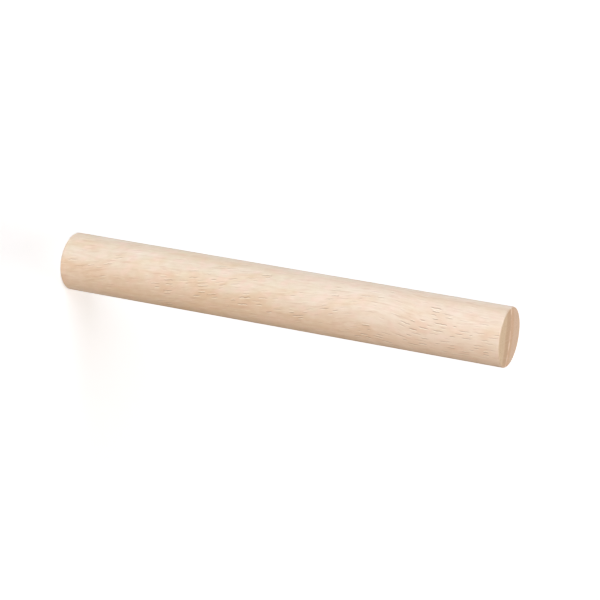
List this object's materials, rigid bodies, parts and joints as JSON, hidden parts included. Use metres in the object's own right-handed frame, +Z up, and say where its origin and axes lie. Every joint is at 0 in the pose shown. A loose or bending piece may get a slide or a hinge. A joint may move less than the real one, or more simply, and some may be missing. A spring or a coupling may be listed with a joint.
{
  "type": "wooden dowel rod",
  "caption": "Straight round hardwood dowel rod with square-sawn ends and lightly sanded edges, for pegs, rails and joints.",
  "frame": {"origin": "centre of the sawn foot face, the end that the rod stands on", "axes": "+Z up along the rod's long axis, from the foot to the head; the section is round, so +X and +Y are any two square directions across it"},
  "size_m": [0.025, 0.025, 0.2],
  "materials": {
    "hardwood": "planed round and sanded, left unfinished"
  },
  "bodies": {
    "root": {"dowel_rod": "hardwood"}
  },
  "joints": []
}
